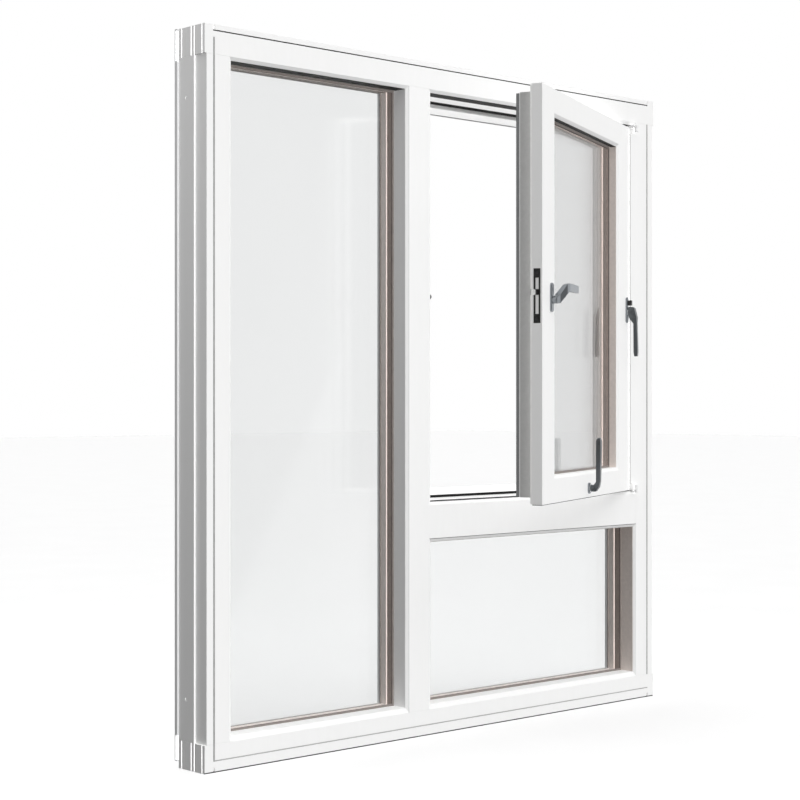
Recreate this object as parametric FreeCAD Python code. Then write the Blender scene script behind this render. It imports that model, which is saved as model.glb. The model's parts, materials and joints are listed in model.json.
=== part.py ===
"""Timber window with a fixed side light, a fixed lower light and an inward-opening casement.

Millimetres. X runs along the window's width, Y from the room to the outside, Z up. The origin is
the centre of the frame's underside. Most sizes are written in the window's own setting-out:
s from the frame's left edge, d inwards from its room-side face, z from its underside.
"""
import FreeCAD
import Part
import math
import os

# ---- driving dimensions ----
FRAME_WIDTH = 1480.0
FRAME_HEIGHT = 1580.0
FRAME_DEPTH = 92.0
HEAD_FACE = 62.7
SILL_FACE = 60.0
LEFT_FACE = 65.6
RIGHT_FACE = 69.7
MULLION_START = 589.1
MULLION_FACE = 66.1
TRANSOM_BOTTOM = 461.0
TRANSOM_TOP = 540.0
SILL_BEVEL = 12.0
BEVEL = 7.3
BEVEL_DEPTH = 5.0
SASH_REST_ANGLE = 24.4
OVERCUT = 1.0
TOLERANCE = 0.01

# ---- grooves and steps of the frame ----
GROOVE = 2.5
SIDE_GROOVE = 4.5
GROOVE_DEPTH = 6.0
FAINT_GROOVE_DEPTH = 0.8
GROOVE_S = 22.5
GROOVE_TOP = 1566.5
GROOVE_BOTTOM = 23.5
CORNER_BREAK = 13.0
LINING_STEP = 5.0
LINING_DEPTH = 38.0
END_GROOVES = (8.0, 46.0, 80.0)
END_GROOVE = 3.0
FOOT_REBATE = (3.0, 2.5)

# ---- outside cladding ----
CLADDING_DEPTH = 9.0
CLADDING_WALL = 2.0
CLADDING_OVERSAIL = 4.0
CLADDING_LOW = 15.0
CLADDING_LEG = 6.0
GASKET_BACK = 2.0

# ---- glazing ----
PANE = 4.0
FIXED_CAVITY = 16.0
SASH_CAVITY = 10.0
REVEAL_END = 44.0
GLASS_SEAT = 3.0
EDGE_COVER = 14.0
EDGE_GAP = 3.0
GASKET_LIP = 5.0
BLOCK_LENGTH = 80.0
BLOCK_INSET = 110.0

# ---- casement opening in the frame ----
BAY_STEP = 13.0
BAY_HEAD_STEP = 17.9
BAY_STOP = 15.5
STOP_START = 44.0
CHEEK_START = 80.0
LINER = 1.0
SEAL = 6.0
SEAL_THICKNESS = 4.0

# ---- sash ----
SASH_SIDE_GAP = 4.0
SASH_HINGE_GAP = 2.6
SASH_TOP_GAP = 7.0
SASH_BOTTOM_GAP = 2.6
SASH_SETBACK = 10.0
FLANGE = 25.0
TONGUE_INSET = 16.5
SASH_TIMBER = 60.0
SASH_DEPTH = 68.0
SASH_REVEAL = 23.0
STILE_FACE = 90.0
HINGE_STILE_FACE = 101.0
RAIL_FACE = 56.0
SASH_COVER_INSET = 1.0
PERIMETER_SEAL = 4.0
PERIMETER_SEAL_INSET = 2.0
PERIMETER_SEAL_WIDTH = 8.0

# ---- hinges ----
PIN_DEPTH = -9.0
PIN_SETBACK = 2.0
PIN_RADIUS = 3.0
RUNNING_CLEARANCE = 0.05
KNUCKLE_RADIUS = 5.5
KNUCKLE_HEIGHT = 14.0
KNUCKLE_GAP = 0.4
PIVOT_PLATE = 2.5
PIVOT_ARM_WIDTH = 10.0
PIVOT_ARM_EDGE = 1.0
PIVOT_ARM_END = 34.0
COVER_BEAD = 3.0
COVER_BEAD_START = 1387.0
COVER_BEAD_INSET = 3.0

# ---- lock in the leading stile ----
LOCK_HEIGHT = 1031.0
LOCK_TRAVEL = 14.0
FACEPLATE = (2.0, 16.4, 124.0)
FACEPLATE_START = 4.3
FACEPLATE_CENTRE = 1022.5
NOTCH_HEIGHT = 6.5
NOTCH_START = 6.2
NOTCH_REACH = 16.2
BAR_LENGTH = 84.0
BAR_THICKNESS = 3.0
BAR_START = 18.4
BAR_SPAN = (4.0, 18.2)
BAR_BACK = 2.0
BAR_GAP = 0.4
SLOT_WIDTH = 8.0
SLOT_HEIGHT = 82.0

# ---- strike on the mullion ----
STRIKE_RADIUS = 5.5
STRIKE_REACH = 16.6
STRIKE_SETBACK = 22.0
STRIKE_CHAMFER = 1.0
STRIKE_PLATE = (56.0, 20.0, 2.0)
STRIKE_PLATE_BELOW = 39.2
STRIKE_PLATE_CORNER = 4.0
STRIKE_SCREW_RADIUS = 3.0
STRIKE_SCREW_HEAD = 1.2
STRIKE_SCREW_HEIGHTS = (7.0, 22.0)

# ---- levers; depths are counted forwards from the sash's face ----
PLATE_THICKNESS = 5.0
PLATE_HEIGHT = 67.0
PLATE_WIDTH = 17.0
PLATE_EDGE = 1.2
PLATE_CORNER = 8.0
ROSE_HEIGHT = 27.0
SPINDLE = 8.0
SPINDLE_REACH = 20.0
SPINDLE_END_GAP = 2.0
SPINDLE_HOLE_RADIUS = 6.2
LEVER_CLEARANCE = 0.3
HUB_RADIUS = 8.5
HUB_END = 17.0
# each: distance along the sash, lowest and highest point, farthest-back and foremost depth
LATCH_SECTIONS = (
    (-7.5, -7.5, 5.0, 7.0, 16.0),
    (5.0, -7.5, 12.0, 8.0, 21.0),
    (22.0, 14.0, 36.0, 22.0, 33.0),
    (32.0, 20.5, 39.0, 27.0, 36.0),
    (99.0, 19.5, 37.0, 27.5, 35.5),
    (104.0, 22.5, 34.0, 28.5, 34.5),
)
# each: height from the spindle, half width, farthest-back and foremost depth
SIDE_SECTIONS = (
    (14.0, 5.5, 8.0, 19.0),
    (10.0, 8.0, 6.0, 23.0),
    (-14.0, 8.0, 9.0, 29.0),
    (-30.0, 5.0, 20.0, 29.0),
    (-104.0, 6.5, 21.0, 31.0),
    (-115.0, 5.0, 22.5, 30.0),
)
LOWER_SECTIONS = (
    (-7.5, 6.0, 9.0, 20.0),
    (3.0, 7.0, 11.0, 27.0),
    (16.0, 5.5, 20.0, 30.0),
    (60.0, 7.0, 20.5, 31.0),
    (115.0, 7.8, 21.0, 32.0),
    (121.0, 6.0, 22.5, 30.5),
)

# ---- fixings ----
FIXING_RADIUS = 3.75
FIXING_INSET = 150.0

# ---- sizes worked out from the above ----
MULLION_END = MULLION_START + MULLION_FACE
RIGHT_START = FRAME_WIDTH - RIGHT_FACE
HEAD_START = FRAME_HEIGHT - HEAD_FACE
OUT = FRAME_DEPTH + CLADDING_DEPTH
SIDE_LIGHT = (LEFT_FACE + BEVEL, MULLION_START - BEVEL, SILL_FACE + SILL_BEVEL, HEAD_START - BEVEL)
LOWER_LIGHT = (MULLION_END + BEVEL, RIGHT_START - BEVEL, SILL_FACE + SILL_BEVEL, TRANSOM_BOTTOM - BEVEL)
BAY = (MULLION_END + BEVEL, RIGHT_START - BEVEL, TRANSOM_TOP + BEVEL, HEAD_START - BEVEL)
FIXED_UNIT = 3 * PANE + 2 * FIXED_CAVITY
SASH_LEFT = BAY[0] + SASH_SIDE_GAP
SASH_RIGHT = BAY[1] - SASH_HINGE_GAP
SASH_BOTTOM = BAY[2] + SASH_BOTTOM_GAP
SASH_TOP = BAY[3] - SASH_TOP_GAP
PIN_S = BAY[1] - PIN_SETBACK
SASH_LIGHT = (
    SASH_LEFT + STILE_FACE + BEVEL,
    SASH_RIGHT - HINGE_STILE_FACE - BEVEL,
    SASH_BOTTOM + RAIL_FACE + BEVEL,
    SASH_TOP - RAIL_FACE - BEVEL,
)
LEVER_PLACES = {
    "latch": (SASH_LEFT + 65.0, 1016.0),
    "side": (SASH_RIGHT - 29.0, 1016.0),
    "lower": (SASH_LEFT + 363.0, 572.0),
}
PLATES = {"latch": (6.0, PLATE_HEIGHT), "side": (6.0, PLATE_HEIGHT), "lower": (0.0, ROSE_HEIGHT)}


# ---- placing and shaping ----
def point(s, d, z):
    """A point of the setting-out in the part's own frame."""
    return FreeCAD.Vector(s - FRAME_WIDTH / 2, d - FRAME_DEPTH / 2, z)


def block(s, d, z):
    """A straight block between the two values of each of s, d and z."""
    return Part.makeBox(s[1] - s[0], d[1] - d[0], z[1] - z[0], point(s[0], d[0], z[0]))


def rod(radius, start, end):
    """A round bar from one setting-out point to another."""
    begin = point(*start)
    along = point(*end) - begin
    return Part.makeCylinder(radius, along.Length, begin, along)


def grown(light, amount):
    """A light made larger by the same amount all round."""
    return (light[0] - amount, light[1] + amount, light[2] - amount, light[3] + amount)


def through(light, d):
    """The block that fills a light between two depths."""
    return block(light[:2], d, light[2:])


def tapered(outlines):
    """A solid with flat sides that joins a row of closed four-cornered outlines."""
    loops = [outlines[0], outlines[-1]]
    for near, far in zip(outlines, outlines[1:]):
        for side in range(len(near) - 1):
            loops.append([near[side], near[side + 1], far[side + 1], far[side], near[side]])
    solid = Part.Solid(Part.Shell([Part.Face(Part.makePolygon(loop)) for loop in loops]))
    return solid if solid.Volume > 0 else solid.reversed()


def splay(light, front, outer):
    """The bevelled mouth of a light: a frustum from its face outline back to its reveal."""
    near = [point(s, front, z) for s, z in rectangle_corners(outer)]
    far = [point(s, front + BEVEL_DEPTH, z) for s, z in rectangle_corners(light)]
    return tapered([near, far])


def rectangle_corners(light):
    """Four corners of a light, the first one repeated."""
    left, right, low, high = light
    return [(left, low), (right, low), (right, high), (left, high), (left, low)]


def ring(light, width, d):
    """Four butted bars, each a solid of its own, standing outside a light's edge."""
    outer = grown(light, width)
    return [
        block((outer[0], outer[1]), d, (outer[2], light[2])),
        block((outer[0], outer[1]), d, (light[3], outer[3])),
        block((outer[0], light[0]), d, light[2:]),
        block((light[1], outer[1]), d, light[2:]),
    ]


def open_sash(shape):
    """Swings a closed-sash shape to the angle at which the sash stands at rest."""
    turned = shape.copy()
    turned.rotate(point(PIN_S, PIN_DEPTH, 0), FreeCAD.Vector(0, 0, 1), SASH_REST_ANGLE)
    return turned


def softened(shape, radius, keep):
    """Rounds the edges that the keep test picks."""
    return shape.makeFillet(radius, [edge for edge in shape.Edges if keep(edge)])


def deepwise(edge):
    """True for a straight edge that runs along Y."""
    return edge.BoundBox.YLength > edge.Length - TOLERANCE


def crosswise(edge):
    """True for a straight edge that runs along X."""
    return edge.BoundBox.XLength > edge.Length - TOLERANCE


# ---- timber frame ----
def face_grooves():
    """Lining grooves that run round the room-side face, broken near the corners."""
    deep = (0.0, GROOVE_DEPTH)
    right = FRAME_WIDTH - GROOVE_S
    left_span = (GROOVE_S, GROOVE_S + SIDE_GROOVE)
    right_span = (right - SIDE_GROOVE, right)
    top = (GROOVE_TOP, GROOVE_TOP + GROOVE)
    cuts = [block((GROOVE_S, right), deep, top)]
    cuts.append(block((GROOVE_S, right), (0, FAINT_GROOVE_DEPTH), (GROOVE_BOTTOM, GROOVE_BOTTOM + GROOVE)))
    for span in (left_span, right_span):
        cuts.append(block(span, deep, (GROOVE_TOP, FRAME_HEIGHT)))
        cuts.append(block(span, deep, (0, GROOVE_BOTTOM - CORNER_BREAK)))
    cuts.append(block(left_span, deep, (GROOVE_BOTTOM, GROOVE_TOP - CORNER_BREAK)))
    cuts.append(block(right_span, deep, (SILL_FACE, HEAD_START)))
    cuts.append(block((0, FRAME_WIDTH), (0, FOOT_REBATE[0]), (0, FOOT_REBATE[1])))
    return cuts


def side_cuts():
    """The lining step along both jambs and the small machined grooves on the ends of head and sill."""
    cuts = []
    for near in (0.0, FRAME_WIDTH - LINING_STEP):
        cuts.append(block((near, near + LINING_STEP), (0, LINING_DEPTH), (SILL_FACE, HEAD_START)))
    for near in (0.0, FRAME_WIDTH - END_GROOVE):
        for d in END_GROOVES:
            for z in ((0, SILL_FACE), (HEAD_START, FRAME_HEIGHT)):
                cuts.append(block((near, near + END_GROOVE), (d, d + END_GROOVE), z))
        lining = (LINING_DEPTH - END_GROOVE, LINING_DEPTH)
        cuts.append(block((near, near + END_GROOVE), lining, (0, SILL_FACE)))
        cuts.append(block((near, near + END_GROOVE), lining, (HEAD_START, FRAME_HEIGHT)))
    return cuts


def fixing_holes():
    """Frame-screw holes through both jambs, from the rebate to the outside of the frame."""
    depth = FRAME_DEPTH / 2 + LINING_DEPTH / 2
    spans = (
        (-OVERCUT, SIDE_LIGHT[0] + OVERCUT),
        (bay_clear()[1] - OVERCUT, FRAME_WIDTH + OVERCUT),
    )
    cuts = []
    for z in (FIXING_INSET, FRAME_HEIGHT - FIXING_INSET):
        cuts += [rod(FIXING_RADIUS, (start, depth, z), (end, depth, z)) for start, end in spans]
    return cuts


def fixed_light_cuts(light):
    """A fixed light: splayed mouth, reveal and glazing rebate."""
    outer = (light[0] - BEVEL, light[1] + BEVEL, SILL_FACE, light[3] + BEVEL)
    rebate = grown(light, EDGE_COVER + EDGE_GAP)
    return [
        splay(light, 0, outer),
        through(light, (0, FRAME_DEPTH)),
        through(rebate, (REVEAL_END, FRAME_DEPTH)),
    ]


def bay_middle():
    """The opening behind the sash rebate, where the sash's tongue stands."""
    return (BAY[0] + BAY_STEP, BAY[1] - BAY_STEP, BAY[2] + BAY_STEP, BAY[3] - BAY_HEAD_STEP)


def bay_clear():
    """The clear opening at the outside, inside the stops."""
    return grown(bay_middle(), -BAY_STOP)


def bay_cuts():
    """The casement opening: splayed mouth, sash rebate, tongue space and clear opening."""
    return [
        splay(BAY, 0, grown(BAY, BEVEL)),
        through(BAY, (0, STOP_START)),
        through(bay_middle(), (STOP_START, CHEEK_START)),
        through(bay_clear(), (CHEEK_START, FRAME_DEPTH)),
    ]


def frame_blank():
    """All six timber members as machined, before they are told apart."""
    blank = block((0, FRAME_WIDTH), (0, FRAME_DEPTH), (0, FRAME_HEIGHT))
    cuts = fixed_light_cuts(SIDE_LIGHT) + fixed_light_cuts(LOWER_LIGHT) + bay_cuts()
    cuts += face_grooves() + side_cuts() + fixing_holes()
    cuts.append(pivot_arm(fixed_arm_span(), lower_fixed_z()))
    return blank.cut(cuts)


def frame_members():
    """Head and sill run through; jambs, mullion and transom butt between them."""
    blank = frame_blank()
    deep = (0, FRAME_DEPTH)
    wide = (0, FRAME_WIDTH)
    lights = (SIDE_LIGHT[:2], BAY[:2])
    hang = bay_clear()[3]
    rise = SILL_FACE + SILL_BEVEL
    head = [block(wide, deep, (HEAD_START, FRAME_HEIGHT))]
    head += [block(span, deep, (hang, HEAD_START)) for span in lights]
    sill = [block(wide, deep, (0, SILL_FACE))]
    sill += [block(span, deep, (SILL_FACE, rise)) for span in lights]
    transom = [block((MULLION_END, RIGHT_START), deep, (TRANSOM_BOTTOM, TRANSOM_TOP))]
    transom.append(block(BAY[:2], deep, (LOWER_LIGHT[3], bay_clear()[2])))
    made = {}
    for name, regions in (("head", head), ("sill", sill), ("transom", transom)):
        made[name] = blank.common(regions[0].fuse(regions[1:]))
    taken = list(made.values())
    tall = (SILL_FACE, HEAD_START)
    spans = {
        "left_jamb": (0, SIDE_LIGHT[0]),
        "mullion": (SIDE_LIGHT[1], bay_clear()[0]),
        "right_jamb": (bay_clear()[1], FRAME_WIDTH),
    }
    for name, span in spans.items():
        made[name] = blank.common(block(span, deep, tall)).cut(taken)
    made["mullion"] = made["mullion"].cut(strike_pocket())
    return made


# ---- fixed glazing ----
def glazing(prefix, light, front, back, cavity):
    """A three-pane sealed unit with its spacers, between gaskets at its front and back depths."""
    unit = grown(light, EDGE_COVER)
    visible = grown(light, -GASKET_LIP)
    nodes = {prefix + "_inner_gasket": ring(visible, EDGE_COVER + GASKET_LIP, (front, front + GLASS_SEAT))}
    d = front + GLASS_SEAT
    for place in ("inner", "middle", "outer"):
        nodes[f"{prefix}_{place}_pane"] = [through(unit, (d, d + PANE))]
        d += PANE
        if place != "outer":
            nodes[f"{prefix}_{place}_spacer"] = ring(light, EDGE_COVER, (d, d + cavity))
            d += cavity
    nodes[prefix + "_outer_gasket"] = ring(light, EDGE_COVER, (d, back))
    return nodes


def setting_blocks():
    """Blocks that carry the two fixed sealed units on the sill and transom-side rebates."""
    made = []
    d = (REVEAL_END + GLASS_SEAT, REVEAL_END + GLASS_SEAT + FIXED_UNIT)
    for light in (SIDE_LIGHT, LOWER_LIGHT):
        low = light[2] - EDGE_COVER - EDGE_GAP
        for s in (light[0] + BLOCK_INSET, light[1] - BLOCK_INSET):
            made.append(block((s - BLOCK_LENGTH / 2, s + BLOCK_LENGTH / 2), d, (low, low + EDGE_GAP)))
    return made


# ---- outside cladding of the frame ----
def channel(s, z, upward):
    """A metal cover with a thin face and two legs back to the timber along its long edges."""
    cover = block(s, (FRAME_DEPTH + GASKET_BACK, OUT), z)
    inner = (FRAME_DEPTH + GASKET_BACK, OUT - CLADDING_WALL)
    if upward:
        pocket = block((s[0] + CLADDING_WALL, s[1] - CLADDING_WALL), inner, z)
    else:
        pocket = block(s, inner, (z[0] + CLADDING_WALL, z[1] - CLADDING_WALL))
    return cover.cut(pocket)


def outer_leg(cover, leg):
    """Adds the edge leg that closes a cover back to the timber's outside face."""
    return cover.fuse(leg).removeSplitter()


def frame_cladding():
    """Six covers on the outside: head and sill run through, the others butt between them."""
    left = -CLADDING_OVERSAIL
    right = FRAME_WIDTH + CLADDING_OVERSAIL
    back = (FRAME_DEPTH, FRAME_DEPTH + GASKET_BACK)
    low = SIDE_LIGHT[2]
    head_low = SIDE_LIGHT[3]
    clear = bay_clear()
    tall = (low, head_low)
    head = channel((left, right), (head_low, FRAME_HEIGHT), False)
    head = outer_leg(head, block((left, right), back, (FRAME_HEIGHT - CLADDING_WALL, FRAME_HEIGHT)))
    sill = channel((left, right), (CLADDING_LOW, low), False)
    sill = outer_leg(sill, block((left, right), back, (CLADDING_LOW, CLADDING_LOW + CLADDING_WALL)))
    jamb = channel((left, SIDE_LIGHT[0]), tall, True)
    jamb = outer_leg(jamb, block((left, left + CLADDING_LEG), back, tall))
    far = channel((BAY[1], right), tall, True)
    far = outer_leg(far, block((right - CLADDING_LEG, right), back, tall))
    mullion = channel((SIDE_LIGHT[1], BAY[0]), tall, True)
    transom = channel(BAY[:2], (LOWER_LIGHT[3], clear[2]), False)
    return {
        "head_cladding": head,
        "sill_cladding": sill,
        "left_jamb_cladding": jamb,
        "right_jamb_cladding": far,
        "mullion_cladding": mullion,
        "transom_cladding": transom,
    }


# ---- casement opening's seals ----
def bay_seal():
    """The weather seal on the stop, which the closed sash's flange presses against."""
    light = bay_middle()
    return ring(light, SEAL, (STOP_START - SEAL_THICKNESS, STOP_START))


def rebate_liner():
    """Thin dark strips that line the top and bottom of the sash rebate."""
    span = (BAY[0] + LINER, BAY[1] - LINER)
    d = (BEVEL_DEPTH + LINER, STOP_START - SEAL_THICKNESS - LINER)
    return [
        block(span, d, (BAY[3] - LINER, BAY[3])),
        block(span, d, (BAY[2], BAY[2] + LINER)),
    ]


# ---- strike on the mullion ----
def strike_spans():
    """Depth and height spans of the strike plate."""
    tall, deep, _ = STRIKE_PLATE
    low = LOCK_HEIGHT - STRIKE_PLATE_BELOW
    return (STRIKE_SETBACK - deep / 2, STRIKE_SETBACK + deep / 2), (low, low + tall)


def strike_pocket():
    """The shallow pocket that the strike plate is let into."""
    d, z = strike_spans()
    return block((BAY[0] - STRIKE_PLATE[2], BAY[0]), d, z)


def on_strike(reach, z):
    """A point in front of the strike plate's face."""
    return (BAY[0] + reach, STRIKE_SETBACK, z)


def strike():
    """Strike plate, its locking stud and the two screws that hold it."""
    d, z = strike_spans()
    thin = STRIKE_PLATE[2]
    plate = block((BAY[0] - thin, BAY[0]), d, z)
    plate = softened(plate, STRIKE_PLATE_CORNER, crosswise)
    stud = rod(STRIKE_RADIUS, on_strike(0, LOCK_HEIGHT), on_strike(STRIKE_REACH, LOCK_HEIGHT))
    stud = stud.makeChamfer(STRIKE_CHAMFER, [stud.Edges[0]])
    screws = []
    for height in STRIKE_SCREW_HEIGHTS:
        level = z[0] + height
        screws.append(rod(STRIKE_SCREW_RADIUS, on_strike(0, level), on_strike(STRIKE_SCREW_HEAD, level)))
    return {"strike_plate": plate, "strike_stud": stud, "strike_screws": screws}


# ---- sash timber ----
def sash_front(depth):
    """Depth in the frame's setting-out of a depth measured from the closed sash's room-side face."""
    return SASH_SETBACK + depth


def sash_outer():
    """The flange's outline as a light."""
    return (SASH_LEFT, SASH_RIGHT, SASH_BOTTOM, SASH_TOP)


def sash_blank():
    """The four sash members as machined, before they are told apart."""
    flange = through(sash_outer(), (sash_front(0), sash_front(FLANGE)))
    tongue = through(grown(sash_outer(), -TONGUE_INSET), (sash_front(FLANGE), sash_front(SASH_TIMBER)))
    cuts = [
        splay(SASH_LIGHT, sash_front(0), grown(SASH_LIGHT, BEVEL)),
        through(SASH_LIGHT, (sash_front(0), sash_front(SASH_TIMBER))),
        through(grown(SASH_LIGHT, EDGE_COVER + EDGE_GAP), (sash_front(SASH_REVEAL), sash_front(SASH_TIMBER))),
    ]
    cuts += [faceplate_recess(), stud_notch(), bar_slot()]
    cuts.append(pivot_arm(moving_arm_span(), lower_moving_z()))
    cuts += [spindle_hole(place) for place in LEVER_PLACES.values()]
    return flange.fuse(tongue).removeSplitter().cut(cuts)


def sash_members():
    """Stiles run the full height; the rails butt between them."""
    blank = sash_blank()
    deep = (sash_front(0), sash_front(SASH_TIMBER))
    tall = (SASH_BOTTOM, SASH_TOP)
    spans = {
        "lock_stile": block((SASH_LEFT, SASH_LIGHT[0]), deep, tall),
        "hinge_stile": block((SASH_LIGHT[1], SASH_RIGHT), deep, tall),
        "top_rail": block(SASH_LIGHT[:2], deep, (SASH_LIGHT[3], SASH_TOP)),
        "bottom_rail": block(SASH_LIGHT[:2], deep, (SASH_BOTTOM, SASH_LIGHT[2])),
    }
    return {name: blank.common(region) for name, region in spans.items()}


def sash_cladding():
    """Four metal covers over the outside of the sash, stiles full height and rails between."""
    outer = grown(sash_outer(), -TONGUE_INSET - SASH_COVER_INSET)
    back = sash_front(SASH_TIMBER)
    far = sash_front(SASH_DEPTH)
    light = SASH_LIGHT
    spans = {
        "lock_stile_cladding": ((outer[0], light[0]), outer[2:], True),
        "hinge_stile_cladding": ((light[1], outer[1]), outer[2:], True),
        "top_rail_cladding": (light[:2], (light[3], outer[3]), False),
        "bottom_rail_cladding": (light[:2], (outer[2], light[2]), False),
    }
    made = {}
    for name, (s, z, upward) in spans.items():
        cover = block(s, (back, far), z)
        inner = (back, far - CLADDING_WALL)
        wall = CLADDING_WALL
        hollow_s = (s[0] + wall, s[1] - wall) if upward else s
        hollow_z = z if upward else (z[0] + wall, z[1] - wall)
        made[name] = cover.cut(block(hollow_s, inner, hollow_z))
    return made


def perimeter_seal():
    """The pale seal on the back of the flange, cut away at the lock."""
    outer = grown(sash_outer(), -PERIMETER_SEAL_INSET)
    light = grown(outer, -PERIMETER_SEAL_WIDTH)
    d = (sash_front(FLANGE), sash_front(FLANGE) + PERIMETER_SEAL)
    level = (LOCK_HEIGHT - NOTCH_HEIGHT, LOCK_HEIGHT + NOTCH_HEIGHT)
    gap = block((SASH_LEFT, SASH_LEFT + TONGUE_INSET), d, level)
    bars = []
    for bar in ring(light, PERIMETER_SEAL_WIDTH, d):
        bars += bar.cut(gap).Solids
    return bars


# ---- lock in the leading stile ----
def faceplate_span():
    """Height span of the lock's faceplate."""
    return (FACEPLATE_CENTRE - FACEPLATE[2] / 2, FACEPLATE_CENTRE + FACEPLATE[2] / 2)


def faceplate_recess():
    """The shallow recess in the leading edge that holds the faceplate."""
    d = (sash_front(FACEPLATE_START), sash_front(FACEPLATE_START + FACEPLATE[1]))
    return block((SASH_LEFT, SASH_LEFT + FACEPLATE[0]), d, faceplate_span())


def stud_notch():
    """The notch that takes the frame's stud, open at the back of the flange."""
    d = (sash_front(NOTCH_START), sash_front(FLANGE))
    z = (LOCK_HEIGHT - NOTCH_HEIGHT, LOCK_HEIGHT + NOTCH_HEIGHT)
    return block((SASH_LEFT, SASH_LEFT + NOTCH_REACH), d, z)


def bar_slot():
    """The upright slot in which the locking bar slides, with room for its travel."""
    span = (SASH_LEFT + BAR_SPAN[0] - BAR_GAP, SASH_LEFT + BAR_SPAN[1] + BAR_GAP)
    d = (sash_front(BAR_START - BAR_GAP), sash_front(BAR_START + BAR_THICKNESS + BAR_GAP))
    half = BAR_LENGTH / 2 + LOCK_TRAVEL + BAR_GAP
    return block(span, d, (LOCK_HEIGHT - half, LOCK_HEIGHT + half))


def faceplate():
    """The lock's faceplate, slotted for the stud and notched through to its back edge."""
    plate = faceplate_recess()
    centre = sash_front(FACEPLATE_START + FACEPLATE[1] / 2)
    thin = (SASH_LEFT, SASH_LEFT + FACEPLATE[0])
    slot_z = (FACEPLATE_CENTRE - SLOT_HEIGHT / 2, FACEPLATE_CENTRE + SLOT_HEIGHT / 2)
    slot = block(thin, (centre - SLOT_WIDTH / 2, centre + SLOT_WIDTH / 2), slot_z)
    return plate.cut([slot, stud_notch()])


def lock_bar():
    """The sliding bar that shuts behind the stud; its gap stands at the stud while unlocked."""
    half = BAR_LENGTH / 2
    span = (SASH_LEFT + BAR_SPAN[0], SASH_LEFT + BAR_SPAN[1])
    d = (sash_front(BAR_START), sash_front(BAR_START + BAR_THICKNESS))
    bar = block(span, d, (LOCK_HEIGHT - half, LOCK_HEIGHT + half))
    level = (LOCK_HEIGHT - NOTCH_HEIGHT, LOCK_HEIGHT + NOTCH_HEIGHT)
    return bar.cut(block((span[0], span[1] - BAR_BACK), d, level))


# ---- levers ----
def spindle_hole(place):
    """The hole in a stile or rail through which a lever's spindle passes."""
    s, z = place
    end = sash_front(SPINDLE_REACH + SPINDLE_END_GAP)
    return rod(SPINDLE_HOLE_RADIUS, (s, sash_front(0), z), (s, end, z))


def backplate(kind):
    """A lever's round-ended backplate or rose with the hole for its hub."""
    s, z = LEVER_PLACES[kind]
    offset, tall = PLATES[kind]
    low = z + offset - tall / 2
    half = PLATE_WIDTH / 2
    front = (sash_front(-PLATE_THICKNESS), sash_front(0))
    plate = block((s - half, s + half), front, (low, low + tall))
    plate = softened(plate, PLATE_CORNER, deepwise)
    plate = plate.makeChamfer(PLATE_EDGE, [edge for edge in plate.Edges if on_depth(edge, front[0])])
    return plate.cut(rod(SPINDLE_HOLE_RADIUS, (s, front[0], z), (s, front[1], z)))


def on_depth(edge, d):
    """True for an edge that lies wholly at one depth."""
    y = d - FRAME_DEPTH / 2
    return abs(edge.BoundBox.YMin - y) < TOLERANCE and abs(edge.BoundBox.YMax - y) < TOLERANCE


def hub(kind):
    """A lever's hub in front of its plate and the spindle behind it."""
    s, z = LEVER_PLACES[kind]
    start = sash_front(-PLATE_THICKNESS - LEVER_CLEARANCE)
    collar = rod(HUB_RADIUS, (s, start, z), (s, sash_front(-HUB_END), z))
    half = SPINDLE / 2
    spindle = block((s - half, s + half), (start, sash_front(SPINDLE_REACH)), (z - half, z + half))
    return collar.fuse(spindle)


def across_outline(s, depths, z):
    """An outline across the width at one s, for depths in front of the sash and a height span."""
    far, near = depths
    corners = rectangle_corners((sash_front(-near), sash_front(-far), z[0], z[1]))
    return [point(s, d, height) for d, height in corners]


def upright_outline(z, depths, s):
    """A level outline at one height, for depths in front of the sash and a span of s."""
    far, near = depths
    corners = rectangle_corners((s[0], s[1], sash_front(-near), sash_front(-far)))
    return [point(across, d, z) for across, d in corners]


def latch_lever():
    """The cranked lever: a neck that rises forwards from the hub and a flat grip along the sash."""
    s, z = LEVER_PLACES["latch"]
    outlines = []
    for along, low, high, far, near in LATCH_SECTIONS:
        outlines.append(across_outline(s + along, (far, near), (z + low, z + high)))
    return hub("latch").fuse(tapered(outlines)).removeSplitter()


def upright_lever(kind, sections):
    """A lever with an upright grip, from sections of (height, half width, far and near depth)."""
    s, z = LEVER_PLACES[kind]
    outlines = []
    for height, half, far, near in sections:
        outlines.append(upright_outline(z + height, (far, near), (s - half, s + half)))
    return hub(kind).fuse(tapered(outlines)).removeSplitter()


# ---- hinges: a pivot at the top and the bottom corner of the sash ----
def pivot_arm(s, z):
    """A flat arm from the pin back over or under the sash's corner, with a round eye at the pin."""
    arm = block(s, (PIN_DEPTH, PIVOT_ARM_END), z)
    return arm.fuse(rod(KNUCKLE_RADIUS, (PIN_S, PIN_DEPTH, z[0]), (PIN_S, PIN_DEPTH, z[1])))


def fixed_arm_span():
    """Span of s of a fixed arm, clear of the jamb's rebate."""
    return (PIN_S + PIVOT_ARM_EDGE - PIVOT_ARM_WIDTH, PIN_S + PIVOT_ARM_EDGE)


def moving_arm_span():
    """Span of s of a moving arm, flush with the sash's hinge edge or just inside it."""
    return (PIN_S - PIVOT_ARM_EDGE - PIVOT_ARM_WIDTH, PIN_S - PIVOT_ARM_EDGE)


def lower_fixed_z():
    """Height span of the lower fixed arm, let into the transom."""
    return (BAY[2] - PIVOT_PLATE, BAY[2])


def lower_moving_z():
    """Height span of the lower moving arm, let into the underside of the sash."""
    return (SASH_BOTTOM, SASH_BOTTOM + PIVOT_PLATE)


def upper_moving_z():
    """Height span of the upper moving arm, on top of the sash."""
    return (SASH_TOP, SASH_TOP + PIVOT_PLATE)


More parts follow.
